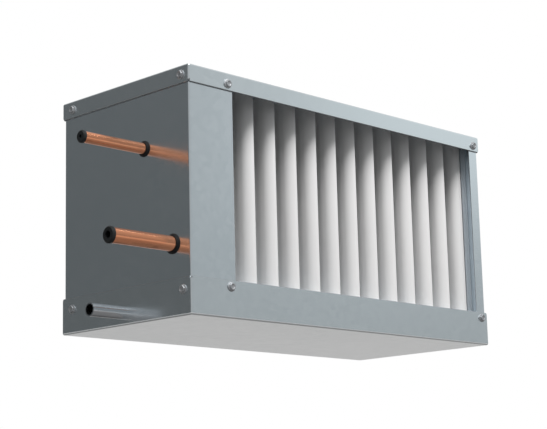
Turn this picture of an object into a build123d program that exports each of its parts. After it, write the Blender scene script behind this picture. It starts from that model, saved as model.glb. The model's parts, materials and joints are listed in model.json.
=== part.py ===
from build123d import *
import os
from math import cos, radians, sin

os.makedirs("parts", exist_ok=True)

# Frame: origin at the centre of the underside, +X to the right as seen from the air outlet,
# the air outlet on the -Y side, the air inlet on the +Y side, +Z up. Millimetres.

# Casing of folded galvanised sheet
casing_width = 484
casing_depth = 208
casing_height = 258
sheet = 1.0
cover_skirt = 19
tray_skirt = 39
cover_hem = 14
tray_hem = 16
bend_radius = 2.0
rim_round = 0.6
skirt_corner = 4
stile_left = 63
stile_right = 18

# Screws of the casing
screw_hex = 7.0
screw_head = 2.8
screw_flange_diameter = 10
screw_flange = 0.8
screw_shank_diameter = 4.8
screw_length = 8
cover_front_screw_rise = 7
cover_side_screw_rise = 9
tray_front_screw_drop = 6.7
tray_side_screw_drop = 12.6
front_screw_from_stile_edge = 8
front_screw_from_right = 11.5
side_screw_from_front = 12
side_screw_from_rear = 18

# Connections on the left side
pipe_reach = 78.5
pipe_neck_step = 0.4
liquid_diameter = 12
liquid_wall = 1.0
liquid_from_front = 72
liquid_z = 181.5
suction_diameter = 16
suction_wall = 1.0
suction_from_front = 29
suction_z = 74.8
suction_bore_depth = 80
suction_elbow = 10
drain_diameter = 14
drain_wall = 1.2
drain_reach = 45
drain_neck_step = 0.6
drain_y = 0
drain_z = 13

# Grommets and plugs on the two copper pipes
grommet_lip = 1.6
grommet_edge = 0.8
grommet_collar = 2.6
grommet_collar_width = 0.7
grommet_step = 0.9
grommet_rim = 2.0
pipe_clearance = 0.1
hole_play = 0.3
plug_rim = 0.7
plug_head = 3.5
plug_shank = 14
plug_clearance = 0.3
plug_wall = 2.4
plug_taper = 0.4
plug_round = 1.2

# Drip pan and its foam wedge
pan_sheet = 0.8
pan_gap = 0.3
pan_top = 22
pan_floor_low = 6.8
pan_fall = 5.0

# Rails that carry the coil and the eliminator
rail_sheet = 1.5
rail_top = 36
rail_width = 22
rail_leg = 11

# Finned coil
tube_diameter = 12.7
tube_pitch = 30
row_pitch = 26
coil_gap = 9
fin_thickness = 0.25
fin_pitch = 4.0
plate_sheet = 1.5
tube_stub = 6
bend_stub = 3
hole_clearance = 0.15
sheet_flange = 12
lid_gap = 0.3
bend_to_panel = 1.0
drain_slot_length = 60
drain_slot_width = 8
drain_slot_count = 5

# Header, distributor and feeders
header_diameter = 22
header_from_panel = 1.0
header_over = 20
header_chamfer = 3
outlet_diameter = 12.7
distributor_length = 24
distributor_diameter = 22
distributor_socket = 8
distributor_neck = 16
distributor_start = 9
feeder_diameter = 5
feeder_run = 9
feeder_radius = 7
feeder_spread = 5

# Droplet eliminator
eliminator_setback = 18.5
frame_sheet = 1.0
frame_side_lip = 9
frame_rail_lip = 7
blade_pitch = 32.6
blade_thickness = 1.6
blade_first_nose = 78.5
blade_end_gap = 0.3
nose_gap = 0.8
nose_radius = 11
nose_turn = 70
hollow_radius = 30
wave_radius = 18
wave_turn = 25
tail_length = 12
comb_height = 6
comb_grip = 8
comb_back = 2.5
comb_clearance = 0.3

# Places that follow from the sizes above
left = -casing_width / 2
right = casing_width / 2
front = -casing_depth / 2
rear = casing_depth / 2
panel_inset = 2 * sheet
panel_left = left + panel_inset
panel_right = right - panel_inset
panel_front = front + panel_inset
panel_rear = rear - panel_inset
room_left = panel_left + sheet
room_right = panel_right - sheet
room_front = panel_front + sheet
room_rear = panel_rear - sheet
cover_under = casing_height - sheet
opening_left = left + stile_left

liquid_y = front + liquid_from_front
suction_y = front + suction_from_front
liquid_neck_radius = liquid_diameter / 2 - pipe_neck_step
suction_neck_radius = suction_diameter / 2 - pipe_neck_step
drain_neck_radius = drain_diameter / 2 - drain_neck_step
grommet_face_x = panel_left - grommet_collar

# The eliminator stands behind the outlet: nose, hollow, two full waves and a quarter, straight tail
frame_front = front + eliminator_setback
nose_y = frame_front + frame_sheet + nose_gap
wave_quarters = 5
blade_depth = (
    nose_radius * sin(radians(nose_turn))
    + (hollow_radius + wave_quarters * wave_radius) * sin(radians(wave_turn))
    + tail_length
)
tail_shift = (
    -nose_radius * (1 - cos(radians(nose_turn)))
    + (hollow_radius + wave_radius) * (1 - cos(radians(wave_turn)))
)
tail_end = nose_y + blade_depth
frame_rear = tail_end + comb_clearance + comb_back + frame_sheet
frame_left = opening_left + lid_gap
frame_right = room_right - lid_gap
frame_bottom = rail_top
frame_top = cover_under - lid_gap
blade_bottom = frame_bottom + frame_sheet
blade_top = frame_top - frame_sheet - blade_end_gap
first_nose = left + blade_first_nose
last_nose_limit = frame_right - frame_side_lip - blade_thickness / 2 - nose_gap
blade_count = 1 + int((last_nose_limit - first_nose) // blade_pitch)

# The coil stands behind the eliminator, with an even number of tubes in each row
coil_front = frame_rear + coil_gap
fin_bottom = rail_top + plate_sheet
fin_height = casing_height - cover_skirt - tray_skirt
fin_top = fin_bottom + fin_height
tubes_high = 2 * int(((fin_height - tube_diameter) / tube_pitch + 0.5) // 2)
coil_depth = 2 * row_pitch
coil_rear = coil_front + coil_depth
tube_radius = tube_diameter / 2
sheet_right_outer = room_right - bend_to_panel - tube_pitch / 2 - tube_radius
tube_end = opening_left - plate_sheet - tube_stub


def keep(label, part):
    """Label a finished piece and write it to its own file."""
    part.label = label
    export_step(part, f"parts/{label}.step")


def corner_cutters(skirt):
    """What the rounded ends of a tray's four skirts leave free beside each upright corner."""
    with BuildPart() as cutters:
        with BuildSketch(Plane.XZ.offset(-rear)):
            with Locations((right, skirt)):
                Rectangle(skirt_corner, skirt_corner, align=(Align.MAX, Align.MAX))
            with Locations((right - skirt_corner, skirt - skirt_corner)):
                Circle(skirt_corner, mode=Mode.SUBTRACT)
        extrude(amount=panel_inset)
        with BuildSketch(Plane.YZ.offset(right)):
            with Locations((rear, skirt)):
                Rectangle(skirt_corner, skirt_corner, align=(Align.MAX, Align.MAX))
            with Locations((rear - skirt_corner, skirt - skirt_corner)):
                Circle(skirt_corner, mode=Mode.SUBTRACT)
        extrude(amount=-panel_inset)
        mirror(about=Plane.YZ)
        mirror(about=Plane.XZ)
    return cutters


def folded_tray(skirt, hem):
    """A sheet tray, open upwards, with its rim folded inwards on itself."""
    cutters = corner_cutters(skirt)
    with BuildPart() as tray:
        with BuildSketch():
            Rectangle(casing_width, casing_depth)
        extrude(amount=skirt)
        fillet(tray.edges().filter_by(Axis.Z), bend_radius)
        fillet(tray.faces().sort_by(Axis.Z)[0].edges(), bend_radius)
        offset(amount=-sheet, openings=tray.faces().sort_by(Axis.Z)[-1])
        with BuildSketch(Plane.XY.offset(skirt - hem)):
            RectangleRounded(casing_width - 2 * sheet, casing_depth - 2 * sheet, bend_radius - sheet)
            Rectangle(casing_width - 2 * panel_inset, casing_depth - 2 * panel_inset, mode=Mode.SUBTRACT)
        extrude(amount=hem)
        rim = tray.faces().sort_by(Axis.Z)[-1]
        fillet(rim.edges(), rim_round)
        add(cutters.part, mode=Mode.SUBTRACT)
    return tray


# Base tray, with the hole for the drain pipe
tray_blank = folded_tray(tray_skirt, tray_hem)
with BuildPart() as base_tray:
    add(tray_blank.part)
    with BuildSketch(Plane.YZ.offset(left)):
        with Locations((drain_y, drain_z)):
            Circle(drain_neck_radius + hole_play)
    extrude(amount=panel_inset, mode=Mode.SUBTRACT)
keep("base_tray", base_tray.part)

# Top cover: the same kind of tray, turned over
cover_blank = folded_tray(cover_skirt, cover_hem)
with BuildPart() as top_cover:
    add(cover_blank.part.rotate(Axis.X, 180).moved(Location((0, 0, casing_height))))
keep("top_cover", top_cover.part)


def side_panel(outer_x, stile, turn):
    """A channel of sheet: the side wall and a stile folded along its front and rear."""
    with BuildPart() as panel:
        with BuildSketch(Plane.XY.offset(sheet)):
            with Locations((outer_x + turn * stile / 2, 0)):
                Rectangle(stile, panel_rear - panel_front)
            with Locations((outer_x + turn * (stile / 2 + sheet), 0)):
                Rectangle(stile, room_rear - room_front, mode=Mode.SUBTRACT)
        extrude(amount=casing_height - 2 * sheet)
        outer = panel.faces().sort_by(Axis.X)[0 if turn > 0 else -1]
        fillet(outer.edges().filter_by(Axis.Z), bend_radius)
    return panel


# Left side panel, with holes for the three pipes
left_blank = side_panel(panel_left, stile_left - panel_inset, 1)
with BuildPart() as side_panel_left:
    add(left_blank.part)
    with BuildSketch(Plane.YZ.offset(panel_left)):
        with Locations((liquid_y, liquid_z)):
            Circle(liquid_neck_radius + grommet_step + pipe_clearance)
        with Locations((suction_y, suction_z)):
            Circle(suction_neck_radius + grommet_step + pipe_clearance)
        with Locations((drain_y, drain_z)):
            Circle(drain_neck_radius + hole_play)
    extrude(amount=sheet, mode=Mode.SUBTRACT)
keep("side_panel_left", side_panel_left.part)

right_blank = side_panel(panel_right, stile_right - panel_inset, -1)
keep("side_panel_right", right_blank.part)

# Screws: flanged hexagon heads on the skirts, shanks through the skirt, its hem and the panel
front_screw_xs = (
    opening_left - front_screw_from_stile_edge,
    right - front_screw_from_right,
)
side_screw_ys = (front + side_screw_from_front, rear - side_screw_from_rear)


def screw_planes(front_level, side_level):
    """The seats of a tray's eight screws, each with its axis pointing outwards."""
    seats = []
    for x in front_screw_xs:
        seats.append(Plane(origin=(x, front, front_level), x_dir=(1, 0, 0), z_dir=(0, -1, 0)))
        seats.append(Plane(origin=(x, rear, front_level), x_dir=(1, 0, 0), z_dir=(0, 1, 0)))
    for y in side_screw_ys:
        seats.append(Plane(origin=(left, y, side_level), x_dir=(0, 1, 0), z_dir=(-1, 0, 0)))
        seats.append(Plane(origin=(right, y, side_level), x_dir=(0, 1, 0), z_dir=(1, 0, 0)))
    return seats


def screw_set(front_level, side_level):
    """The eight screws of the cover or of the tray."""
    with BuildPart() as screws:
        for seat in screw_planes(front_level, side_level):
            with BuildSketch(seat):
                RegularPolygon(screw_hex / 2, 6, major_radius=False)
            extrude(amount=screw_head)
            with BuildSketch(seat):
                Circle(screw_flange_diameter / 2)
            extrude(amount=screw_flange)
            with BuildSketch(seat):
                Circle(screw_shank_diameter / 2)
            extrude(amount=-screw_length)
    return screws


skirt_edge_z = casing_height - cover_skirt
cover_screw_set = screw_set(skirt_edge_z + cover_front_screw_rise, skirt_edge_z + cover_side_screw_rise)
keep("cover_screws", cover_screw_set.part)
tray_screw_set = screw_set(tray_skirt - tray_front_screw_drop, tray_skirt - tray_side_screw_drop)
keep("tray_screws", tray_screw_set.part)


# Copper pipes: bare stubs up to the grommets' faces, a little thinner from there inwards
def pipe_axis(y, z, x=left):
    """A plane at the left side whose normal is a pipe's axis, pointing outwards."""
    return Plane(origin=(x, y, z), x_dir=(0, 1, 0), z_dir=(-1, 0, 0))


distributor_x = room_left + distributor_start
liquid_inner_end = distributor_x + distributor_socket
stub_length = grommet_face_x - (left - pipe_reach)
with BuildPart() as liquid_pipe:
    with BuildSketch(pipe_axis(liquid_y, liquid_z, grommet_face_x)):
        Circle(liquid_diameter / 2)
    extrude(amount=stub_length)
    with BuildSketch(pipe_axis(liquid_y, liquid_z, grommet_face_x)):
        Circle(liquid_neck_radius)
    extrude(amount=grommet_face_x - liquid_inner_end)
    with BuildSketch(pipe_axis(liquid_y, liquid_z, left - pipe_reach)):
        Circle(liquid_diameter / 2 - liquid_wall)
    extrude(amount=-(liquid_inner_end - left + pipe_reach), mode=Mode.SUBTRACT)
keep("liquid_pipe", liquid_pipe.part)

# Header: a closed copper cylinder beside the outlets of the rear row
row_front_y = coil_front + row_pitch / 2
row_rear_y = row_front_y + row_pitch
first_tube_z = fin_bottom + (fin_height - (tubes_high - 0.5) * tube_pitch) / 2
row_front_z = [first_tube_z + k * tube_pitch for k in range(tubes_high)]
row_rear_z = [z + tube_pitch / 2 for z in row_front_z]
circuit_tubes = tubes_high // 2
circuit_starts = range(0, tubes_high, circuit_tubes)
header_x = room_left + header_from_panel + header_diameter / 2
header_bottom = min(row_rear_z[0], suction_z) - header_over
header_top = row_rear_z[circuit_tubes] + header_over
with BuildPart() as suction_header:
    with BuildSketch(Plane.XY.offset(header_bottom)):
        with Locations((header_x, row_rear_y)):
            Circle(header_diameter / 2)
    extrude(amount=header_top - header_bottom)
    chamfer(suction_header.edges().filter_by(GeomType.CIRCLE), header_chamfer)
keep("suction_header", suction_header.part)

# Suction pipe: from the header forwards along the panel, then out through it
with BuildPart() as suction_pipe:
    with BuildLine(Plane.XY.offset(suction_z)) as suction_route:
        FilletPolyline(
            (header_x, row_rear_y),
            (header_x, suction_y),
            (grommet_face_x, suction_y),
            radius=suction_elbow,
        )
    with BuildSketch(Plane(origin=suction_route.line @ 0, z_dir=suction_route.line % 0)):
        Circle(suction_neck_radius)
    sweep()
    with BuildSketch(pipe_axis(suction_y, suction_z, grommet_face_x)):
        Circle(suction_diameter / 2)
    extrude(amount=stub_length)
    with BuildSketch(pipe_axis(suction_y, suction_z, left - pipe_reach)):
        Circle(suction_diameter / 2 - suction_wall)
    extrude(amount=-suction_bore_depth, mode=Mode.SUBTRACT)
    add(suction_header.part, mode=Mode.SUBTRACT)
keep("suction_pipe", suction_pipe.part)

# Outlet stubs: from the last tube of each circuit into the header
with BuildPart() as outlet_stubs:
    with BuildSketch(Plane.YZ.offset(header_x)):
        with Locations(*[(row_rear_y, row_rear_z[k]) for k in circuit_starts]):
            Circle(outlet_diameter / 2)
    extrude(amount=tube_end - header_x)
    add(suction_header.part, mode=Mode.SUBTRACT)
keep("outlet_stubs", outlet_stubs.part)

# Distributor: a turned brass body between the liquid pipe and the feeders
with BuildPart() as distributor:
    with BuildSketch(Plane.XZ.offset(-liquid_y)):
        with BuildLine():
            Polyline(
                (distributor_x, liquid_z + liquid_neck_radius + pipe_clearance),
                (distributor_x, liquid_z + distributor_neck / 2),
                (distributor_x + distributor_socket, liquid_z + distributor_neck / 2),
                (distributor_x + 2 * distributor_socket, liquid_z + distributor_diameter / 2),
                (distributor_x + distributor_length, liquid_z + distributor_diameter / 2),
                (distributor_x + distributor_length, liquid_z),
                (liquid_inner_end, liquid_z),
                (liquid_inner_end, liquid_z + liquid_neck_radius + pipe_clearance),
                close=True,
            )
        make_face()
    revolve(axis=Axis((0, liquid_y, liquid_z), (1, 0, 0)))
keep("distributor", distributor.part)

# Feeder tubes: one to the first tube of each circuit
feeder_x = distributor_x + distributor_length
with BuildPart() as feeder_tubes:
    for side, k in zip((-1, 1), circuit_starts):
        start_y = liquid_y + side * feeder_spread
        with BuildLine() as feeder_route:
            FilletPolyline(
                (feeder_x, start_y, liquid_z),
                (feeder_x + feeder_run, start_y, liquid_z),
                (feeder_x + feeder_run, row_front_y, row_front_z[k]),
                (tube_end, row_front_y, row_front_z[k]),
                radius=feeder_radius,
            )
        with BuildSketch(Plane(origin=feeder_route.line @ 0, z_dir=feeder_route.line % 0)):
            Circle(feeder_diameter / 2)
        sweep(path=feeder_route.line)
keep("feeder_tubes", feeder_tubes.part)


# Coil tubes
def bent_tube(first, second, end_x, bend_x, turn):
    """One U-shaped tube between two (y, z) places; turn is 1 for a bend on the right."""
    here = Vector(0, *first)
    across = Vector(0, *second) - here
    span = across.length
    side = Plane(origin=here, x_dir=(1, 0, 0), z_dir=Vector(1, 0, 0).cross(across))
    with BuildPart() as tube:
        with BuildLine(side) as route:
            Line((end_x, 0), (bend_x, 0))
            ThreePointArc((bend_x, 0), (bend_x + turn * span / 2, span / 2), (bend_x, span))
            Line((bend_x, span), (end_x, span))
        with BuildSketch(Plane(origin=route.line @ 0, z_dir=route.line % 0)):
            Circle(tube_radius)
        sweep()
    return tube.part


def front_tube(k):
    return (row_front_y, row_front_z[k])


def rear_tube(k):
    return (row_rear_y, row_rear_z[k])


# Each circuit climbs the front row, crosses to the rear row at its top and comes down again
circuits = []
for k in circuit_starts:
    climb = [front_tube(k + i) for i in range(circuit_tubes)]
    descent = [rear_tube(k + i) for i in reversed(range(circuit_tubes))]
    circuits.append(climb + descent)

with BuildPart() as coil_hairpins:
    for tubes in circuits:
        for first, second in zip(tubes[0::2], tubes[1::2]):
            add(bent_tube(first, second, tube_end, sheet_right_outer, 1))
keep("coil_hairpins", coil_hairpins.part)

with BuildPart() as return_bends:
    for tubes in circuits:
        for first, second in zip(tubes[1:-1:2], tubes[2:-1:2]):
            add(bent_tube(first, second, tube_end, tube_end - bend_stub, -1))
keep("return_bends", return_bends.part)

tube_places = [place for tubes in circuits for place in tubes]


def tube_sheet(outer_x, low_y, high_y, low_z, high_z, turn):
    """A punched plate with flanges along its front and rear, folded away from the fins."""
    plane = Plane.YZ.offset(outer_x)
    centre = ((low_y + high_y) / 2, (low_z + high_z) / 2)
    with BuildPart() as plate:
        with BuildSketch(plane):
            with Locations(centre):
                Rectangle(high_y - low_y, high_z - low_z)
        extrude(amount=turn * sheet_flange)
        with BuildSketch(plane.offset(turn * plate_sheet)):
            with Locations(centre):
                Rectangle(high_y - low_y - 2 * plate_sheet, high_z - low_z)
        extrude(amount=turn * sheet_flange, mode=Mode.SUBTRACT)
        with BuildSketch(plane):
            with Locations(*tube_places):
                Circle(tube_radius + hole_clearance)
        extrude(amount=turn * plate_sheet, mode=Mode.SUBTRACT)
    return plate


# The left sheet also parts the pipe space from the airway, so it is as deep as the casing
sheet_left = tube_sheet(opening_left, room_front, room_rear, rail_top, cover_under - lid_gap, -1)
keep("tube_sheet_left", sheet_left.part)
sheet_right_inner = sheet_right_outer - plate_sheet
sheet_right = tube_sheet(sheet_right_inner, coil_front, coil_rear, rail_top, cover_under - lid_gap, 1)
keep("tube_sheet_right", sheet_right.part)

# Fins: thin plates across the airway, which the tubes pass through
fin_span = sheet_right_inner - opening_left
fin_count = int(fin_span // fin_pitch)
with BuildPart() as coil_fins:
    with Locations(((opening_left + sheet_right_inner) / 2, (coil_front + coil_rear) / 2, fin_bottom)):
        with GridLocations(fin_pitch, 1, fin_count, 1):
            Box(fin_thickness, coil_depth, fin_height, align=(Align.CENTER, Align.CENTER, Align.MIN))
keep("coil_fins", coil_fins.part)


def coil_plate(plate_z, flange_height):
    """A channel above or below the fins, with a flange along its front and rear."""
    turn = 1 if flange_height > 0 else -1
    centre_x = (opening_left + sheet_right_inner) / 2
    centre_y = (coil_front + coil_rear) / 2
    with BuildPart() as plate:
        with BuildSketch(Plane.XY.offset(plate_z)):
            with Locations((centre_x, centre_y)):
                Rectangle(fin_span, coil_depth)
        extrude(amount=flange_height)
        with BuildSketch(Plane.XY.offset(plate_z + turn * plate_sheet)):
            with Locations((centre_x, centre_y)):
                Rectangle(fin_span, coil_depth - 2 * plate_sheet)
        extrude(amount=flange_height, mode=Mode.SUBTRACT)
    return plate


coil_top = coil_plate(fin_top, cover_under - lid_gap - fin_top)
keep("coil_top_plate", coil_top.part)

# Bottom plate, with slots that let the condensate fall into the pan
with BuildPart() as coil_bottom_plate:
    with BuildSketch(Plane.XY.offset(rail_top)):
        with Locations(((opening_left + sheet_right_inner) / 2, (coil_front + coil_rear) / 2)):
            Rectangle(fin_span, coil_depth)
            with GridLocations(fin_span / drain_slot_count, 1, drain_slot_count, 1):
                Rectangle(drain_slot_length, drain_slot_width, mode=Mode.SUBTRACT)
    extrude(amount=plate_sheet)
keep("coil_bottom_plate", coil_bottom_plate.part)


# Droplet eliminator
def blade_side(nose, half):
    """One face of the waved blade, from the nose to the tail, half a thickness to its left."""
    heading = Vector(-sin(radians(nose_turn)), cos(radians(nose_turn)))
    start = Vector(*nose) + Vector(-heading.Y, heading.X) * half
    face = JernArc(start, heading, nose_radius + half, -nose_turn)
    face = JernArc(face @ 1, face % 1, hollow_radius + half, -wave_turn)
    face = JernArc(face @ 1, face % 1, wave_radius - half, 2 * wave_turn)
    face = JernArc(face @ 1, face % 1, wave_radius + half, -2 * wave_turn)
    face = JernArc(face @ 1, face % 1, wave_radius - half, wave_turn)
    tail = Line(face @ 1, (face @ 1) + (0, tail_length))
    return start, tail @ 1


def blade(nose_x):
    """A waved blade of constant thickness, standing on the bottom rail."""
    with BuildPart() as body:
        with BuildSketch(Plane.XY.offset(blade_bottom)):
            with BuildLine():
                left_nose, left_tail = blade_side((nose_x, nose_y), blade_thickness / 2)
                right_nose, right_tail = blade_side((nose_x, nose_y), -blade_thickness / 2)
                Line(left_nose, right_nose)
                Line(left_tail, right_tail)
            make_face()
        extrude(amount=blade_top - blade_bottom)
    return body


nose_xs = [first_nose + k * blade_pitch for k in range(blade_count)]
for number, nose_x in enumerate(nose_xs, start=1):
    keep(f"blade_{number:02d}", blade(nose_x).part)


def frame_rail(web_z, lip_height):
    """A channel along the blades' ends, with a lip in front and behind."""
    turn = 1 if lip_height > 0 else -1
    centre = ((frame_left + frame_right) / 2, (frame_front + frame_rear) / 2)
    with BuildPart() as rail:
        with BuildSketch(Plane.XY.offset(web_z)):
            with Locations(centre):
                Rectangle(frame_right - frame_left, frame_rear - frame_front)
        extrude(amount=lip_height)
        with BuildSketch(Plane.XY.offset(web_z + turn * frame_sheet)):
            with Locations(centre):
                Rectangle(frame_right - frame_left, frame_rear - frame_front - 2 * frame_sheet)
        extrude(amount=lip_height, mode=Mode.SUBTRACT)
    return rail


keep("eliminator_rail_bottom", frame_rail(frame_bottom, frame_rail_lip).part)
keep("eliminator_rail_top", frame_rail(frame_top, -frame_rail_lip).part)


def frame_side(web_x, turn):
    """An upright channel at one end of the eliminator, nested between the two rails."""
    low_y = frame_front + frame_sheet
    high_y = frame_rear - frame_sheet
    centre_y = (low_y + high_y) / 2
    with BuildPart() as channel:
        with BuildSketch(Plane.XY.offset(blade_bottom)):
            with Locations((web_x + turn * frame_side_lip / 2, centre_y)):
                Rectangle(frame_side_lip, high_y - low_y)
            with Locations((web_x + turn * (frame_sheet + frame_side_lip / 2), centre_y)):
                Rectangle(frame_side_lip, high_y - low_y - 2 * frame_sheet, mode=Mode.SUBTRACT)
        extrude(amount=blade_top - blade_bottom)
    return channel


keep("eliminator_side_left", frame_side(frame_left, 1).part)
keep("eliminator_side_right", frame_side(frame_right, -1).part)


# Combs: plastic strips whose slots hold the blades' straight tails
def comb(low_z):
    """One strip along the rear lip of a rail, with a slot for each blade."""
    inner_left = frame_left + frame_side_lip + comb_clearance
    inner_right = frame_right - frame_side_lip - comb_clearance
    centre_x = (inner_left + inner_right) / 2
    with BuildPart() as strip:
        with BuildSketch(Plane.XY.offset(low_z)):
            with Locations((centre_x, tail_end + comb_clearance + comb_back)):
                Rectangle(
                    inner_right - inner_left,
                    comb_grip + comb_clearance + comb_back,
                    align=(Align.CENTER, Align.MAX),
                )
            with Locations(*[(x + tail_shift, tail_end + comb_clearance) for x in nose_xs]):
                Rectangle(
                    blade_thickness + 2 * comb_clearance,
                    comb_grip + comb_clearance,
                    align=(Align.CENTER, Align.MAX),
                    mode=Mode.SUBTRACT,
                )
        extrude(amount=comb_height)
    return strip


keep("comb_bottom", comb(blade_bottom).part)
keep("comb_top", comb(blade_top - comb_height).part)

# Support rails: angles from panel to panel that carry the eliminator and the coil
rail_fronts = (frame_front, coil_front - rail_width / 2 - nose_gap, coil_rear - rail_width)
with BuildPart() as support_rails:
    for rail_front in rail_fronts:
        with BuildSketch(Plane.YZ.offset(room_left)):
            with BuildLine():
                Polyline(
                    (rail_front, rail_top),
                    (rail_front + rail_width, rail_top),
                    (rail_front + rail_width, rail_top - rail_sheet),
                    (rail_front + rail_sheet, rail_top - rail_sheet),
                    (rail_front + rail_sheet, rail_top - rail_leg),
                    (rail_front, rail_top - rail_leg),
                    close=True,
                )
            make_face()
        extrude(amount=room_right - room_left)
keep("support_rails", support_rails.part)

# Drip pan: floor falling towards the drain on the left
pan_left = room_left + pan_gap
pan_right = room_right - pan_gap
pan_front = room_front + pan_gap
pan_rear = room_rear - pan_gap


pan_under_low = pan_floor_low - pan_sheet
with BuildPart() as drip_pan:
    with BuildSketch(Plane.XZ.offset(-pan_rear)):
        with BuildLine():
            Polyline(
                (pan_left, pan_under_low),
                (pan_right, pan_under_low + pan_fall),
                (pan_right, pan_top),
                (pan_left, pan_top),
                close=True,
            )
        make_face()
    extrude(amount=pan_rear - pan_front)
    offset(amount=-pan_sheet, openings=drip_pan.faces().sort_by(Axis.Z)[-1])
    with BuildSketch(Plane.YZ.offset(pan_left)):
        with Locations((drain_y, drain_z)):
            Circle(drain_diameter / 2 - drain_wall)
    extrude(amount=pan_sheet, mode=Mode.SUBTRACT)
keep("drip_pan", drip_pan.part)

with BuildPart() as pan_insulation:
    with BuildSketch(Plane.XZ.offset(-pan_rear)):
        with BuildLine():
            Polyline(
                (pan_left, sheet),
                (pan_right, sheet),
                (pan_right, pan_under_low + pan_fall),
                (pan_left, pan_under_low),
                close=True,
            )
        make_face()
    extrude(amount=pan_rear - pan_front)
keep("pan_insulation", pan_insulation.part)

# Drain pipe: a bare end outside, a neck through the skirt and the panel to the pan
with BuildPart() as drain_pipe:
    with BuildSketch(pipe_axis(drain_y, drain_z)):
        Circle(drain_diameter / 2)
    extrude(amount=drain_reach)
    with BuildSketch(pipe_axis(drain_y, drain_z)):
        Circle(drain_neck_radius)
    extrude(amount=left - pan_left)
    with BuildSketch(pipe_axis(drain_y, drain_z, left - drain_reach)):
        Circle(drain_diameter / 2 - drain_wall)
    extrude(amount=-(pan_left - left + drain_reach), mode=Mode.SUBTRACT)
keep("drain_pipe", drain_pipe.part)


def turned_on_pipe(outline, y, z):
    """A round piece about a pipe's axis, from (along, radius) points; along grows outwards."""
    with BuildPart() as body:
        with BuildSketch(Plane.XZ.offset(-y)):
            with BuildLine():
                Polyline(*[(left - along, z + radius) for along, radius in outline], close=True)
            make_face()
        revolve(axis=Axis((0, y, z), (1, 0, 0)))
    return body


def grommet(neck_radius, y, z):
    """A rubber ring with a groove for the side panel and a collar that the pipe's shoulder meets."""
    bore = neck_radius + pipe_clearance
    groove = neck_radius + grommet_step
    rim = groove + grommet_rim
    collar = neck_radius + pipe_neck_step + grommet_collar_width
    outline = [
        (grommet_collar - panel_inset, bore),
        (grommet_collar - panel_inset, collar),
        (grommet_edge - panel_inset, rim),
        (-panel_inset, rim),
        (-panel_inset, groove),
        (-panel_inset - sheet, groove),
        (-panel_inset - sheet, rim),
        (-panel_inset - sheet - grommet_lip, rim),
        (-panel_inset - sheet - grommet_lip, bore),
    ]
    return turned_on_pipe(outline, y, z)


keep("grommet_liquid", grommet(liquid_neck_radius, liquid_y, liquid_z).part)
keep("grommet_suction", grommet(suction_neck_radius, suction_y, suction_z).part)


def plug(pipe_diameter, pipe_wall, y, z):
    """A plastic plug: a head on the pipe's end and a hollow shank in its bore."""
    head = pipe_diameter / 2 + plug_rim
    shank = pipe_diameter / 2 - pipe_wall - plug_clearance
    hollow = shank - plug_taper - plug_wall
    tip = pipe_reach - plug_shank
    outline = [
        (tip + plug_wall, 0),
        (tip, 0),
        (tip, shank - plug_taper),
        (pipe_reach, shank),
        (pipe_reach, head),
        (pipe_reach + plug_head - plug_round, head),
        (pipe_reach + plug_head, head - plug_round),
        (pipe_reach + plug_head, hollow),
        (tip + plug_wall, hollow),
    ]
    return turned_on_pipe(outline, y, z)


keep("plug_liquid", plug(liquid_diameter, liquid_wall, liquid_y, liquid_z).part)
keep("plug_suction", plug(suction_diameter, suction_wall, suction_y, suction_z).part)
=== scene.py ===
import json
import math

import bmesh
import bpy
from mathutils import Matrix, Vector


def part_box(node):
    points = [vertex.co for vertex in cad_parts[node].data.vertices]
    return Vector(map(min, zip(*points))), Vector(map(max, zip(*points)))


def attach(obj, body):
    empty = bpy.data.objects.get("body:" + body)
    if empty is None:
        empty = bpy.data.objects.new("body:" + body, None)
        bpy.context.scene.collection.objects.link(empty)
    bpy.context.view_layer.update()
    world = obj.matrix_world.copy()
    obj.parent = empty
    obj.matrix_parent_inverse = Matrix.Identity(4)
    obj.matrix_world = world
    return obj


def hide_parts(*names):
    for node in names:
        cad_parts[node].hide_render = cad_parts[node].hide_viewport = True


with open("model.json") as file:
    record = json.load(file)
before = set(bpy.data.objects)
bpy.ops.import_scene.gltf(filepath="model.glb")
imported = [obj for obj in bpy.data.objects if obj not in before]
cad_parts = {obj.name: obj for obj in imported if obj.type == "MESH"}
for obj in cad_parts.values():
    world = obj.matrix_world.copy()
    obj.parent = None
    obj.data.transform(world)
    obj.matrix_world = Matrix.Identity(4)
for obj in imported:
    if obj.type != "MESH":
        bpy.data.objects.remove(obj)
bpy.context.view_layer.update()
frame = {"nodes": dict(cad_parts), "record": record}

# Sizes in metres. X runs to the right along the outlet, Y to the inlet and Z up.
MM = 0.001
casing_low, casing_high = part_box("top_cover")
casing_low.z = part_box("base_tray")[0].z


def rgb(red, green, blue):
    return (red, green, blue, 1)


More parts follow.
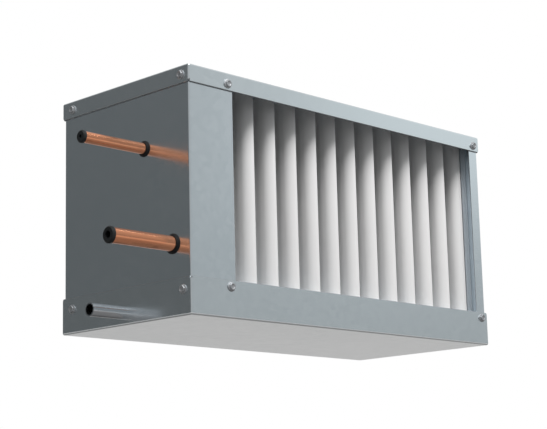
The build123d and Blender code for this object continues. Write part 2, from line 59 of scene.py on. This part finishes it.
class Nodes:
    """A short way to write a node tree."""

    def __init__(self, tree):
        self.tree = tree
        tree.nodes.clear()

    def add(self, kind, settings=None, **inputs):
        """A node, with settings on the node and inputs by socket name, as values or sockets."""
        node = self.tree.nodes.new(kind)
        for name, value in (settings or {}).items():
            setattr(node, name, value)
        for name, value in inputs.items():
            self.put(node.inputs[name.replace("_", " ")], value)
        return node

    def put(self, socket, value):
        """Gives a socket a value, or the output of another node."""
        if isinstance(value, bpy.types.NodeSocket):
            self.tree.links.new(value, socket)
        else:
            socket.default_value = value

    def math(self, operation, *values):
        node = self.tree.nodes.new("ShaderNodeMath")
        node.operation = operation
        for socket, value in zip(node.inputs, values):
            self.put(socket, value)
        return node.outputs[0]

    def mix(self, factor, first, second):
        """A colour between two colours."""
        node = self.tree.nodes.new("ShaderNodeMix")
        node.data_type = "RGBA"
        self.put(node.inputs["Factor"], factor)
        self.put(node.inputs["A"], first)
        self.put(node.inputs["B"], second)
        return node.outputs["Result"]

    def spread(self, value, low, high, new_low=0.0, new_high=1.0):
        """A value carried from one range to another, smoothly and within its ends."""
        node = self.add("ShaderNodeMapRange", {"interpolation_type": "SMOOTHSTEP"})
        for name, number in (
            ("Value", value),
            ("From Min", low),
            ("From Max", high),
            ("To Min", new_low),
            ("To Max", new_high),
        ):
            self.put(node.inputs[name], number)
        return node.outputs["Result"]


# The photograph's camera, below the unit at its front left corner, with angles in degrees
LENS = 99.58
SENSOR = 36
CAMERA_PLACE = (-1.2387, -1.1996, -0.1995)
CAMERA_AZIMUTH = 45.505
CAMERA_ELEVATION = 11.376
CAMERA_ROLL = -1.424


def camera():
    """The photograph's camera, turned by its azimuth, elevation and roll."""
    azimuth = math.radians(CAMERA_AZIMUTH)
    elevation = math.radians(CAMERA_ELEVATION)
    roll = math.radians(CAMERA_ROLL)
    level = Vector((math.sin(azimuth), math.cos(azimuth), 0)) * math.cos(elevation)
    forward = level + Vector((0, 0, math.sin(elevation)))
    level_right = Vector((math.cos(azimuth), -math.sin(azimuth), 0))
    level_up = level_right.cross(forward)
    right = level_right * math.cos(roll) + level_up * math.sin(roll)
    up = level_up * math.cos(roll) - level_right * math.sin(roll)
    data = bpy.data.cameras.new("camera")
    data.lens = LENS
    data.sensor_width = SENSOR
    body = bpy.data.objects.new("camera", data)
    turn = Matrix((right, up, -forward)).transposed().to_4x4()
    body.matrix_world = Matrix.Translation(CAMERA_PLACE) @ turn
    bpy.context.scene.collection.objects.link(body)
    bpy.context.scene.camera = body


# The room round the unit. The left side mirrors the first tone of each pair, the outlet's face the second.
ROOM_LOW = (rgb(0.112, 0.118, 0.12), rgb(0.375, 0.392, 0.40))
ROOM_RAISED = (rgb(0.134, 0.139, 0.142), rgb(0.46, 0.475, 0.482))
ROOM_TOP = (rgb(0.45, 0.45, 0.45), rgb(0.70, 0.70, 0.70))
ROOM_WINDOW = rgb(0.76, 0.80, 0.81)
ROOM_FRONT_LEFT = rgb(0.40, 0.405, 0.41)
ROOM_REAR_RIGHT = rgb(0.55, 0.56, 0.57)
BACKGROUND = rgb(1, 1, 1)

# Where one tone passes into the next, in parts of the view direction of length one
SIDE_RANGE = (-1.15, 1.2)
RAISED_RANGE = (0.08, 0.42)
TOP_RANGE = (0.45, 0.8)
WINDOW_RIGHT_RANGE = (0.65, 0.77)
WINDOW_HEIGHT_RANGE = (0.14, 0.26)
FRONT_LEFT_RANGE = (-1.25, -0.7)
REAR_RIGHT_RANGE = (0.75, 1.25)


def studio_world():
    """White behind the unit for the camera, and a room of soft tones for everything else."""
    world = bpy.data.worlds.new("studio")
    bpy.context.scene.world = world
    world.use_nodes = True
    n = Nodes(world.node_tree)
    direction = n.add("ShaderNodeTexCoord").outputs["Generated"]
    axes = n.add("ShaderNodeSeparateXYZ", Vector=direction).outputs
    front_right = n.math("SUBTRACT", axes["X"], axes["Y"])
    rear_right = n.math("ADD", axes["X"], axes["Y"])

    # From dim at the rear left to bright at the front right, and a little brighter higher up
    side = n.spread(front_right, *SIDE_RANGE)
    low, raised, top = (n.mix(side, *tones) for tones in (ROOM_LOW, ROOM_RAISED, ROOM_TOP))
    room = n.mix(n.spread(axes["Z"], *RAISED_RANGE), low, raised)

    # A bright patch at the right, which the right end of the outlet's face mirrors
    far_right = n.spread(axes["X"], *WINDOW_RIGHT_RANGE)
    high = n.spread(axes["Z"], *WINDOW_HEIGHT_RANGE)
    room = n.mix(n.math("MULTIPLY", far_right, high), room, ROOM_WINDOW)

    # Soft fills behind the camera and behind the unit, and the ceiling over all
    room = n.mix(n.spread(rear_right, *FRONT_LEFT_RANGE, 1.0, 0.0), room, ROOM_FRONT_LEFT)
    room = n.mix(n.spread(rear_right, *REAR_RIGHT_RANGE), room, ROOM_REAR_RIGHT)
    room = n.mix(n.spread(axes["Z"], *TOP_RANGE), room, top)

    seen = n.add("ShaderNodeLightPath").outputs
    through = n.math("MAXIMUM", seen["Is Camera Ray"], seen["Is Transmission Ray"])
    light = n.add("ShaderNodeBackground", Color=n.mix(through, room, BACKGROUND), Strength=1.0)
    out = n.add("ShaderNodeOutputWorld")
    n.put(out.inputs["Surface"], light.outputs[0])


KEY_POWER = 77
KEY_SIZE = (1.6, 1.0)
KEY_PLACE = (-0.48, -1.32, 2.20)
KEY_TARGET = (0, -0.1, 0.13)
KEY_COLOUR = (1.0, 0.985, 0.985)


def lamps():
    """One large soft light, high in front."""
    data = bpy.data.lights.new("key", "AREA")
    data.shape = "RECTANGLE"
    data.size, data.size_y = KEY_SIZE
    data.energy = KEY_POWER
    data.color = KEY_COLOUR
    key = bpy.data.objects.new("key", data)
    key.location = KEY_PLACE
    key.rotation_mode = "QUATERNION"
    key.rotation_quaternion = (Vector(KEY_TARGET) - Vector(KEY_PLACE)).to_track_quat("-Z", "Y")
    bpy.context.scene.collection.objects.link(key)


FLOOR_DROP = 0.5
FLOOR_SIZE = 16
FLOOR_PAINT = (rgb(0.80, 0.80, 0.80), rgb(0.84, 0.84, 0.84))
FLOOR_CLOUDS = 1.5

# Painted reflection: metal mirrors the floor in the first tone up to the first distance, and in the second
# from the second on, a painted tone that is darker near the unit and bright far off and stands in place of
# the floor's lit colour.
PAINTED_REFLECTION_TONES = (rgb(0.229, 0.22, 0.2145), rgb(0.978, 0.94, 0.9165))
PAINTED_REFLECTION_DISTANCES = (0.7, 3.4)

# What the floor gives back to dull surfaces, which keeps the shade between the blades deep
FLOOR_LIGHT = rgb(0.16, 0.16, 0.16)


def floor():
    """A plain pale floor, well below the unit, which shows metal a painted reflection tone."""
    mesh = bpy.data.meshes.new("floor")
    half = FLOOR_SIZE / 2
    level = casing_low.z - FLOOR_DROP
    corners = [(-half, -half, level), (half, -half, level), (half, half, level), (-half, half, level)]
    mesh.from_pydata(corners, [], [(0, 1, 2, 3)])
    obj = bpy.data.objects.new("floor", mesh)
    bpy.context.scene.collection.objects.link(obj)
    material = bpy.data.materials.new("floor_paint")
    material.use_nodes = True
    n = Nodes(material.node_tree)
    place = n.add("ShaderNodeTexCoord").outputs["Object"]
    cloud = n.add("ShaderNodeTexNoise", Vector=place, Scale=FLOOR_CLOUDS, Detail=3.0).outputs["Fac"]
    distance = n.add("ShaderNodeVectorMath", {"operation": "LENGTH"})
    n.put(distance.inputs[0], place)
    # Painted reflection: what metal mirrors of the floor is set by its distance from the unit
    painted_reflection = n.mix(n.spread(distance.outputs["Value"], *PAINTED_REFLECTION_DISTANCES), *PAINTED_REFLECTION_TONES)
    seen = n.add("ShaderNodeLightPath").outputs
    colour = n.mix(seen["Is Glossy Ray"], n.mix(cloud, *FLOOR_PAINT), painted_reflection)
    colour = n.mix(seen["Is Diffuse Ray"], colour, FLOOR_LIGHT)
    shader = n.add("ShaderNodeBsdfDiffuse", Color=colour)
    out = n.add("ShaderNodeOutputMaterial")
    n.put(out.inputs["Surface"], shader.outputs[0])
    mesh.materials.append(material)


# Materials
SKIN_DEPTH = 0.1 * MM
FOAM_DEPTH = 0.4 * MM
CRYSTAL_SCALE = 140.0
# The rim's dark tone: partly the duller cut edge, partly painted shade along the seam beside it
RIM_PAINTED_SHADE = rgb(0.22, 0.23, 0.24)
RIM_ROUGHNESS = 0.55


def surface(name, metallic=0.0, **fixed):
    """A new material: its nodes, its shader and the place on the object."""
    material = bpy.data.materials.new(name)
    material.use_nodes = True
    n = Nodes(material.node_tree)
    shader = n.add("ShaderNodeBsdfPrincipled", Metallic=metallic)
    for socket, value in fixed.items():
        shader.inputs[socket.replace("_", " ")].default_value = value
    out = n.add("ShaderNodeOutputMaterial")
    n.put(out.inputs["Surface"], shader.outputs["BSDF"])
    place = n.add("ShaderNodeTexCoord").outputs["Object"]
    return material, n, shader, place


def stretched(n, place, scale):
    """The place with each axis scaled, for a pattern that runs along one of them."""
    return n.add("ShaderNodeMapping", Vector=place, Scale=scale).outputs["Vector"]


def grain(n, place, scale, detail=4.0, roughness=0.5):
    node = n.add("ShaderNodeTexNoise", Vector=place, Scale=scale, Detail=detail, Roughness=roughness)
    return node.outputs["Fac"]


def relief(n, shader, height, strength, depth=SKIN_DEPTH):
    bump = n.add("ShaderNodeBump", Strength=strength, Distance=depth, Height=height)
    n.put(shader.inputs["Normal"], bump.outputs["Normal"])


def galvanised(name, pale, deep, smooth, rough, metallic=1.0, rim=0):
    """Zinc-coated sheet: faint crystals, soft clouds, a fine rolled grain and a dark, rough rim that is
    partly the duller cut edge and partly painted shade along the seam.

    The rim faces up where rim is 1, down where it is -1, and has no other tone where it is 0.
    """
    material, n, shader, place = surface(name, metallic=metallic)
    crystal = n.add("ShaderNodeTexVoronoi", Vector=place, Scale=CRYSTAL_SCALE, Randomness=1.0)
    tone = n.add("ShaderNodeRGBToBW", Color=crystal.outputs["Color"]).outputs[0]
    cloud = grain(n, place, scale=5.0)
    rolled = grain(n, stretched(n, place, (6, 6, 420)), scale=3.0, detail=2.0)
    pattern = n.math("MULTIPLY_ADD", tone, 0.35, n.math("MULTIPLY", cloud, 0.65))
    colour = n.mix(n.spread(pattern, 0.25, 0.75), deep, pale)
    gloss = n.spread(pattern, 0.2, 0.8, smooth, rough)
    # Painted shade: rim faces that face the given way take a dark tone, which stands for the shade at the
    # seam as well as the duller cut edge
    if rim:
        facing = n.add("ShaderNodeTexCoord").outputs["Normal"]
        upward = n.add("ShaderNodeSeparateXYZ", Vector=facing).outputs["Z"]
        edge = n.spread(n.math("MULTIPLY", upward, rim), 0.15, 0.45)
        colour = n.mix(edge, colour, RIM_PAINTED_SHADE)
        gloss = n.spread(edge, 0.0, 1.0, gloss, RIM_ROUGHNESS)
    n.put(shader.inputs["Base Color"], colour)
    n.put(shader.inputs["Roughness"], gloss)
    relief(n, shader, n.math("MULTIPLY_ADD", tone, 0.3, rolled), strength=0.02)
    return material


def copper():
    """Drawn copper tube: marks along its length and a few dull stains."""
    material, n, shader, place = surface("copper_drawn", metallic=1.0, Coat_Weight=0.2, Coat_Roughness=0.2)
    drawn = grain(n, stretched(n, place, (12, 300, 300)), scale=2.0, detail=5.0)
    stain = grain(n, stretched(n, place, (14, 22, 22)), scale=1.6, detail=5.0, roughness=0.6)
    bright = n.mix(drawn, rgb(0.82, 0.325, 0.17), rgb(0.90, 0.39, 0.215))
    dull = n.mix(drawn, rgb(0.50, 0.195, 0.10), rgb(0.60, 0.25, 0.135))
    share = n.spread(stain, 0.52, 0.72, 0.0, 0.6)
    n.put(shader.inputs["Base Color"], n.mix(share, bright, dull))
    n.put(shader.inputs["Roughness"], n.spread(stain, 0.3, 0.75, 0.14, 0.26))
    relief(n, shader, drawn, strength=0.01)
    return material


def blade_plastic():
    """White extruded plastic with faint lines along the blade."""
    material, n, shader, place = surface("blade_plastic_white", Specular_IOR_Level=0.4)
    lines = grain(n, stretched(n, place, (900, 900, 4)), scale=1.0, detail=2.0)
    cloud = grain(n, place, scale=14.0)
    colour = n.mix(cloud, rgb(0.80, 0.80, 0.795), rgb(0.86, 0.86, 0.855))
    n.put(shader.inputs["Base Color"], colour)
    n.put(shader.inputs["Roughness"], n.spread(lines, 0.3, 0.7, 0.38, 0.5))
    relief(n, shader, lines, strength=0.05)
    return material


def moulded(name, deep, pale, smooth, rough):
    """Moulded plastic or rubber with a fine, slightly uneven skin."""
    material, n, shader, place = surface(name, Specular_IOR_Level=0.25)
    skin_grain = grain(n, place, scale=700.0, detail=3.0)
    dust = grain(n, place, scale=60.0)
    n.put(shader.inputs["Base Color"], n.mix(n.spread(dust, 0.4, 0.75), deep, pale))
    n.put(shader.inputs["Roughness"], n.spread(dust, 0.3, 0.7, smooth, rough))
    relief(n, shader, skin_grain, strength=0.12)
    return material


def foil():
    """Aluminium fin foil, a little duller in places."""
    material, n, shader, place = surface("fin_foil", metallic=0.6)
    cloud = grain(n, place, scale=30.0)
    n.put(shader.inputs["Base Color"], n.mix(cloud, rgb(0.80, 0.82, 0.84), rgb(0.88, 0.90, 0.92)))
    n.put(shader.inputs["Roughness"], n.spread(cloud, 0.3, 0.7, 0.34, 0.48))
    relief(n, shader, grain(n, stretched(n, place, (900, 40, 900)), scale=1.0), strength=0.05)
    return material


def turned_metal(name, deep, pale, smooth, rough, run):
    """Bare metal with fine marks that run as the piece was worked."""
    material, n, shader, place = surface(name, metallic=1.0)
    marks = grain(n, stretched(n, place, run), scale=1.0)
    cloud = grain(n, place, scale=45.0)
    n.put(shader.inputs["Base Color"], n.mix(n.math("MULTIPLY", marks, cloud), deep, pale))
    n.put(shader.inputs["Roughness"], n.spread(marks, 0.3, 0.7, smooth, rough))
    relief(n, shader, marks, strength=0.06)
    return material


def foam():
    """Closed-cell foam board."""
    material, n, shader, place = surface("foam_board", Specular_IOR_Level=0.25)
    cells = n.add("ShaderNodeTexVoronoi", Vector=place, Scale=900.0).outputs["Distance"]
    n.put(shader.inputs["Base Color"], n.mix(cells, rgb(0.05, 0.05, 0.052), rgb(0.11, 0.11, 0.112)))
    n.put(shader.inputs["Roughness"], n.spread(cells, 0.0, 0.8, 0.75, 0.95))
    relief(n, shader, cells, strength=0.4, depth=FOAM_DEPTH)
    return material


# How marks are stretched on metal that was drawn along X or turned about it
ALONG_X = (20, 500, 500)
AROUND_X = (700, 30, 30)

# The finish of every slot: two tones, then the least and the greatest roughness
FINISHES = {
    "galvanised_tray": galvanised(
        "zinc_tray", rgb(0.81, 0.87, 0.90), rgb(0.78, 0.84, 0.87), 0.18, 0.22, rim=1
    ),
    "galvanised_cover": galvanised(
        "zinc_cover", rgb(0.855, 0.92, 0.95), rgb(0.82, 0.885, 0.915), 0.18, 0.22, rim=-1
    ),
    "galvanised_side": galvanised(
        "zinc_side", rgb(0.835, 0.90, 0.94), rgb(0.80, 0.87, 0.91), 0.15, 0.19
    ),
    "coil_frame": galvanised(
        "zinc_coil_frame", rgb(0.62, 0.66, 0.68), rgb(0.54, 0.58, 0.60), 0.25, 0.36
    ),
    "eliminator_frame": galvanised(
        "zinc_eliminator", rgb(0.76, 0.82, 0.87), rgb(0.72, 0.78, 0.83), 0.40, 0.50, metallic=0.4
    ),
    "pan_steel": turned_metal(
        "pan_sheet", rgb(0.5, 0.51, 0.52), rgb(0.7, 0.71, 0.72), 0.22, 0.34, ALONG_X
    ),
    "screw_steel": turned_metal(
        "screw_zinc", rgb(0.36, 0.375, 0.39), rgb(0.46, 0.475, 0.49), 0.58, 0.68, AROUND_X
    ),
    "drain_steel": turned_metal(
        "drain_tube", rgb(0.46, 0.49, 0.52), rgb(0.66, 0.69, 0.72), 0.14, 0.24, ALONG_X
    ),
    "brass": turned_metal(
        "brass_turned", rgb(0.60, 0.42, 0.16), rgb(0.82, 0.62, 0.28), 0.18, 0.3, AROUND_X
    ),
    "copper": copper(),
    "fin_aluminium": foil(),
    "blade_plastic": blade_plastic(),
    "comb_plastic": moulded(
        "comb_plastic_dark", rgb(0.035, 0.036, 0.038), rgb(0.06, 0.06, 0.062), 0.42, 0.58
    ),
    "rubber": moulded(
        "grommet_rubber", rgb(0.005, 0.005, 0.006), rgb(0.012, 0.012, 0.013), 0.6, 0.75
    ),
    "plug_plastic": moulded(
        "plug_black", rgb(0.014, 0.016, 0.017), rgb(0.028, 0.031, 0.032), 0.42, 0.55
    ),
    "foam": foam(),
}


def dress_nodes():
    """Every CAD node takes the finish of its slot."""
    for part in frame["record"]["subparts"]:
        data = frame["nodes"][part["node"]].data
        data.materials.clear()
        data.materials.append(FINISHES[part["material_slot"]])


# Pieces made here
def finished(name, builder, slot, body="casing", smooth_angle=35):
    """A mesh object from a bmesh, with its finish, riding on its body."""
    mesh = bpy.data.meshes.new(name)
    bmesh.ops.recalc_face_normals(builder, faces=builder.faces)
    builder.to_mesh(mesh)
    builder.free()
    mesh.materials.append(FINISHES[slot])
    mesh.shade_smooth()
    mesh.set_sharp_from_angle(angle=math.radians(smooth_angle))
    obj = bpy.data.objects.new(name, mesh)
    bpy.context.scene.collection.objects.link(obj)
    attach(obj, body)
    return obj


def skin(builder, rings, closed_ends=True):
    """Quads between rings of vertices, with the first and last ring closed if asked."""
    for first, second in zip(rings, rings[1:]):
        count = len(first)
        for i in range(count):
            j = (i + 1) % count
            builder.faces.new((first[i], first[j], second[j], second[i]))
    if closed_ends:
        builder.faces.new(list(reversed(rings[0])))
        builder.faces.new(rings[-1])


# Screws with a dished hexagon head on a round flange, and a rolled thread
HEX_HALF = 3.5 * MM
HEX_EASE = 0.1 * MM
FLANGE_RADIUS = 5.0 * MM
FLANGE_EDGE = 0.6 * MM
FLANGE_RISE = 0.5 * MM
FLANGE_FALL = 0.3 * MM
EDGE_EASE = 0.2 * MM
HEAD_HEIGHT = 2.8 * MM
HEAD_CHAMFER = 0.6 * MM
DISH_RADIUS = 2.3 * MM
DISH_FLOOR_RADIUS = 1.61 * MM
DISH_DEPTH = 0.5 * MM
THREAD_RADIUS = 2.4 * MM
THREAD_DEPTH = 0.45 * MM
THREAD_PITCH = 1.6 * MM
SCREW_DEPTH = 8 * MM
TIP_LENGTH = 2.0 * MM
TIP_SHARE = 0.15
ROUND_STEPS = 48
THREAD_STEPS = 24
THREAD_ROWS = 30

# Degrees from one screw to the next
SCREW_TURN = 23

# How near to the casing's left or right side the middle of a screw there lies
SIDE_REACH = 10 * MM

# Vertices of a CAD mesh that are nearer than this count as one
MERGE_DISTANCE = 0.001 * MM


def hexagon(angle):
    """The distance from a hexagon's centre to its side in one direction."""
    sixth = math.pi / 3
    return HEX_HALF / math.cos((angle % sixth) - sixth / 2)


def thread(depth):
    """The thread's radius by direction at one depth; it narrows to the tip."""
    taper = min(1.0, (SCREW_DEPTH - depth) / TIP_LENGTH + TIP_SHARE)

    def radius(angle):
        turn = (depth / THREAD_PITCH + angle / (2 * math.pi)) % 1
        ridge = 1 - abs(2 * turn - 1)
        return (THREAD_RADIUS - THREAD_DEPTH * (1 - ridge)) * taper

    return radius


def head_levels():
    """The head's rings from the seat outwards: height, and the radius by direction."""
    corner = HEX_HALF / math.cos(math.pi / 6)
    return [
        (0, lambda a: THREAD_RADIUS - THREAD_DEPTH),
        (0, lambda a: FLANGE_RADIUS - EDGE_EASE),
        (EDGE_EASE, lambda a: FLANGE_RADIUS),
        (FLANGE_EDGE, lambda a: FLANGE_RADIUS),
        (FLANGE_EDGE + FLANGE_RISE / 2, lambda a: FLANGE_RADIUS - FLANGE_FALL),
        (FLANGE_EDGE + FLANGE_RISE, hexagon),
        (HEAD_HEIGHT - HEAD_CHAMFER, hexagon),
        (HEAD_HEIGHT - HEAD_CHAMFER / 2, lambda a: min(hexagon(a), corner - HEAD_CHAMFER / 2)),
        (HEAD_HEIGHT, lambda a: min(hexagon(a), HEX_HALF - HEX_EASE)),
        (HEAD_HEIGHT, lambda a: DISH_RADIUS + EDGE_EASE),
        (HEAD_HEIGHT - EDGE_EASE, lambda a: DISH_RADIUS),
        (HEAD_HEIGHT - DISH_DEPTH, lambda a: DISH_FLOOR_RADIUS),
    ]


def add_screw(builder, seat):
    """One screw; seat turns its own frame, with Z outwards, into the unit's."""
    def ring(height, radius, steps):
        points = []
        for i in range(steps):
            a = 2 * math.pi * i / steps
            r = radius(a)
            points.append(builder.verts.new(seat @ Vector((r * math.cos(a), r * math.sin(a), height))))
        return points

    skin(builder, [ring(height, radius, ROUND_STEPS) for height, radius in head_levels()])
    depths = [SCREW_DEPTH * row / THREAD_ROWS for row in range(THREAD_ROWS + 1)]
    skin(builder, [ring(-depth, thread(depth), THREAD_STEPS) for depth in depths])


def solids_of(node):
    """The lowest and highest corner of each separate solid of a CAD node."""
    builder = bmesh.new()
    builder.from_mesh(frame["nodes"][node].data)
    bmesh.ops.remove_doubles(builder, verts=builder.verts, dist=MERGE_DISTANCE)
    seen, corners = set(), []
    for start in builder.verts:
        if start in seen:
            continue
        seen.add(start)
        queue, members = [start], []
        while queue:
            vert = queue.pop()
            members.append(vert.co.copy())
            for edge in vert.link_edges:
                other = edge.other_vert(vert)
                if other not in seen:
                    seen.add(other)
                    queue.append(other)
        low = Vector([min(p[i] for p in members) for i in range(3)])
        high = Vector([max(p[i] for p in members) for i in range(3)])
        corners.append((low, high))
    builder.free()
    return corners


def screw_seats(node):
    """Where a node's screws sit on the casing, from the corners of its own solids."""
    seats = []
    for low, high in solids_of(node):
        centre = (low + high) / 2
        size = high - low
        if abs(centre.x) > abs(casing_low.x) - SIDE_REACH and size.x > size.y:
            side = 1 if centre.x > 0 else -1
            place = Vector((side * casing_high.x, centre.y, centre.z))
            outward = Vector((side, 0, 0))
        else:
            side = 1 if centre.y > 0 else -1
            place = Vector((centre.x, side * casing_high.y, centre.z))
            outward = Vector((0, side, 0))
        turn = outward.to_track_quat("Z", "Y").to_matrix().to_4x4()
        seats.append(Matrix.Translation(place) @ turn)
    return seats


def screws(name, node):
    """A set of screws in place of a CAD node, each turned a little further than the last."""
    builder = bmesh.new()
    for number, seat in enumerate(screw_seats(node)):
        turn = Matrix.Rotation(math.radians(SCREW_TURN * number), 4, "Z")
        add_screw(builder, seat @ turn)
    piece = finished(name, builder, "screw_steel")
    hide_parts(node)


# Fins, rippled across the air's way, closer together than the solids
FIN_PITCH = 2.5 * MM
FIN_SHEET = 0.15 * MM
FIN_RIPPLE = 0.55 * MM
FIN_RIPPLES = 6
FIN_STEPS = 4


def fin_pack():
    """Rippled sheets from the left end of the CAD fins to the right end."""
    low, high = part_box("coil_fins")
    builder = bmesh.new()
    count = int((high.x - low.x - 2 * FIN_RIPPLE) / FIN_PITCH)
    start = (low.x + high.x - (count - 1) * FIN_PITCH) / 2
    stations = FIN_RIPPLES * FIN_STEPS
    for k in range(count):
        middle = start + k * FIN_PITCH
        left, right = [], []
        for i in range(stations + 1):
            share = i / stations
            ripple = FIN_RIPPLE * math.sin(2 * math.pi * FIN_RIPPLES * share)
            y = low.y + (high.y - low.y) * share
            left.append((middle + ripple - FIN_SHEET / 2, y))
            right.append((middle + ripple + FIN_SHEET / 2, y))
        outline = left + right[::-1]
        rings = [[builder.verts.new((x, y, z)) for x, y in outline] for z in (low.z, high.z)]
        skin(builder, rings, closed_ends=False)
        for ring in rings:
            for i in range(stations):
                j = len(outline) - 1 - i
                builder.faces.new((ring[i], ring[i + 1], ring[j - 1], ring[j]))
    piece = finished("fin_pack", builder, "fin_aluminium", smooth_angle=60)
    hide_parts("coil_fins")


camera()
studio_world()
lamps()
floor()
dress_nodes()
screws("cover_screw_set", "cover_screws")
screws("tray_screw_set", "tray_screws")
fin_pack()
bpy.context.scene.view_settings.view_transform = "Standard"
